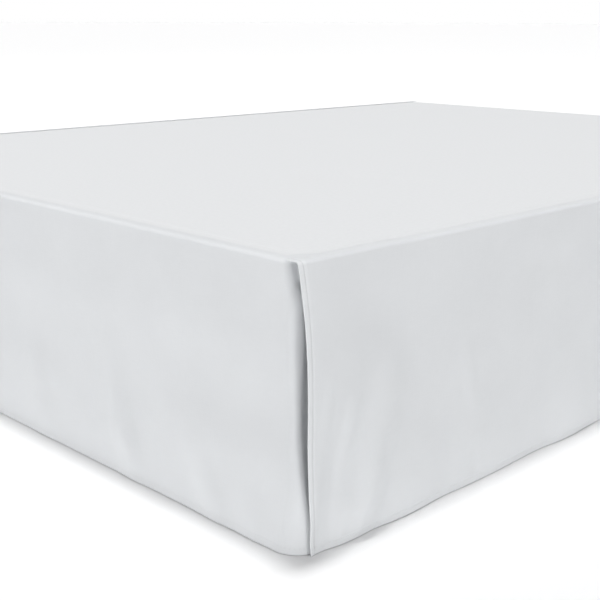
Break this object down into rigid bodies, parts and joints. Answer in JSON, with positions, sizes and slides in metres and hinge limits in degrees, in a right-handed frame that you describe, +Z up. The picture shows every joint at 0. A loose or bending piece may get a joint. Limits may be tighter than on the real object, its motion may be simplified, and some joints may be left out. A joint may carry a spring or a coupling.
{
  "type": "bed skirt on a bed base",
  "caption": "Tailored white bed skirt with a flat deck and split, overlapping foot corners, hanging to the floor round a plain bed base; the head end is open.",
  "frame": {"origin": "on the floor, under the middle of the bed", "axes": "+Z up, +Y along the bed from the foot to the head, +X to the right as seen from the foot"},
  "size_m": [1.5509, 2.0383, 0.3825],
  "materials": {
    "skirt_cloth": "white closely woven cloth, matte, with stitched hems",
    "deck_cloth": "plain white lining cloth, matte",
    "foundation_ticking": "plain off-white ticking, matte",
    "frame_steel": "dark satin powder coat",
    "glide_plastic": "matte black"
  },
  "bodies": {
    "root": {"foot_drop": "skirt_cloth", "side_drop_right": "skirt_cloth", "side_drop_left": "skirt_cloth", "deck": "deck_cloth", "box_foundation": "foundation_ticking", "side_rail_right": "frame_steel", "side_rail_left": "frame_steel", "cross_bar_foot": "frame_steel", "cross_bar_middle": "frame_steel", "cross_bar_head": "frame_steel", "leg_foot_left": "frame_steel", "leg_foot_centre": "frame_steel", "leg_foot_right": "frame_steel", "leg_middle_left": "frame_steel", "leg_middle_centre": "frame_steel", "leg_middle_right": "frame_steel", "leg_head_left": "frame_steel", "leg_head_centre": "frame_steel", "leg_head_right": "frame_steel", "glide_foot_left": "glide_plastic", "glide_foot_centre": "glide_plastic", "glide_foot_right": "glide_plastic", "glide_middle_left": "glide_plastic", "glide_middle_centre": "glide_plastic", "glide_middle_right": "glide_plastic", "glide_head_left": "glide_plastic", "glide_head_centre": "glide_plastic", "glide_head_right": "glide_plastic"}
  },
  "joints": []
}
